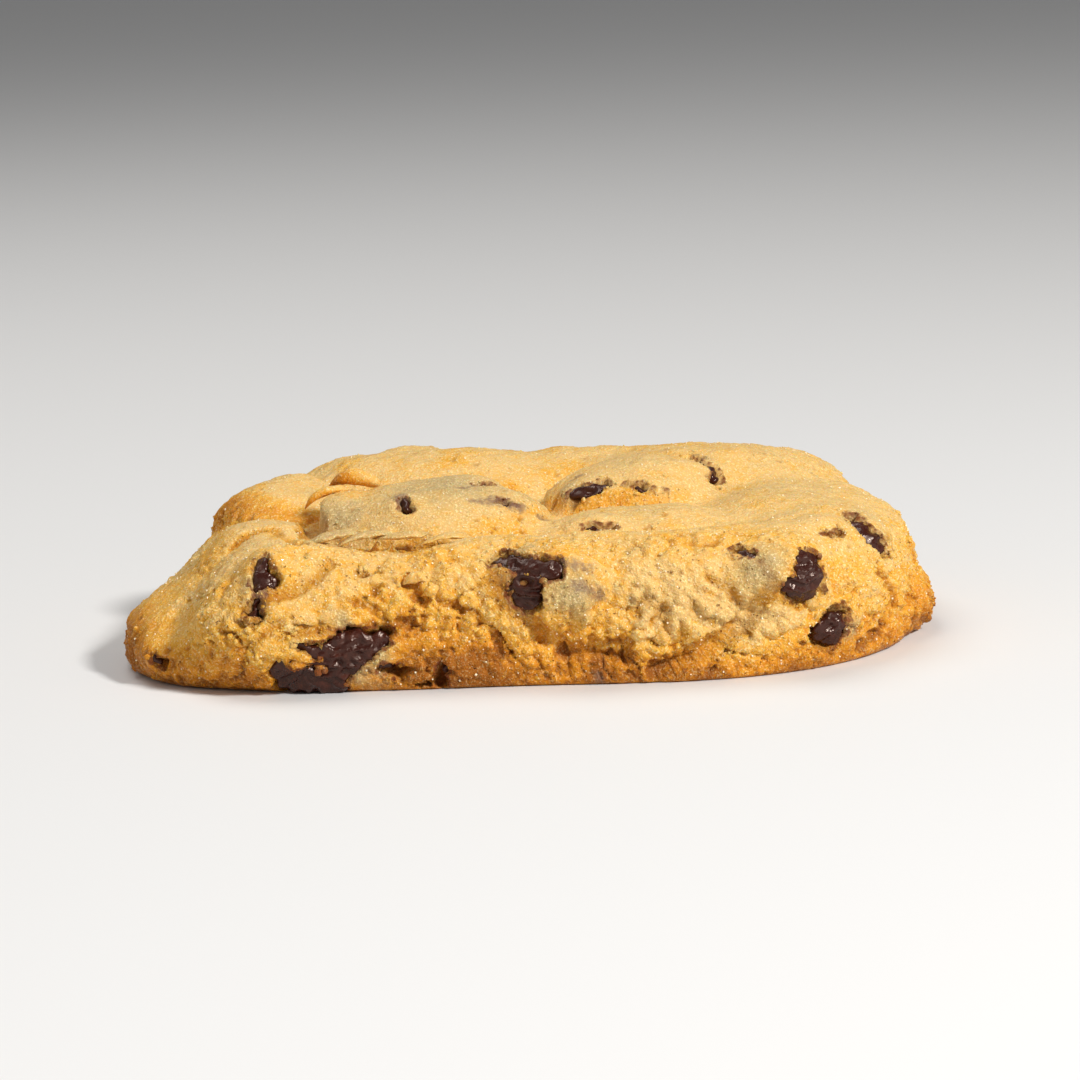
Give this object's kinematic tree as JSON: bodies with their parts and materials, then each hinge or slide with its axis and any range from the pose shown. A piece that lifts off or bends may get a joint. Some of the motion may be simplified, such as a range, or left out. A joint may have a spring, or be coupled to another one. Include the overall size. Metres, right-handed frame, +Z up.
{
  "type": "chocolate chip cookie",
  "caption": "Thick, soft-baked chocolate chip cookie with a craggy pale golden crust and glossy chunks and chips of dark chocolate.",
  "frame": {"origin": "centre of the flat underside, below the middle of the cookie's bounding box", "axes": "+X to the right along the cookie's width, +Y to the back, away from the flatter cracked front side, +Z up out of the underside"},
  "size_m": [0.0956, 0.0835, 0.0203],
  "materials": {
    "dough": "baked dough: dull, pale golden, slightly oily on top",
    "chocolate": "dark chocolate: satin to glossy"
  },
  "bodies": {
    "root": {"dough": "dough", "chunk_front_low": "chocolate", "chip_front_low": "chocolate", "chunk_front_streak": "chocolate", "chunk_front_middle": "chocolate", "chunk_right_front": "chocolate", "chunk_right_low": "chocolate", "chunk_right_shoulder": "chocolate", "chip_right_shoulder": "chocolate", "chunk_mound_front": "chocolate", "chip_mound_front": "chocolate", "chunk_mound_right": "chocolate", "chip_fold": "chocolate", "chunk_dome_left": "chocolate", "chunk_dome_right": "chocolate", "chip_dome_top": "chocolate", "chip_left_tip": "chocolate", "chunk_rear_top": "chocolate", "chunk_rear_right_top": "chocolate", "chip_rear_middle_top": "chocolate", "chunk_right_rear": "chocolate", "chunk_rear_right": "chocolate", "chunk_rear": "chocolate", "chip_rear_low": "chocolate", "chunk_rear_left": "chocolate", "chunk_left_rear": "chocolate", "chip_left": "chocolate"}
  },
  "joints": []
}
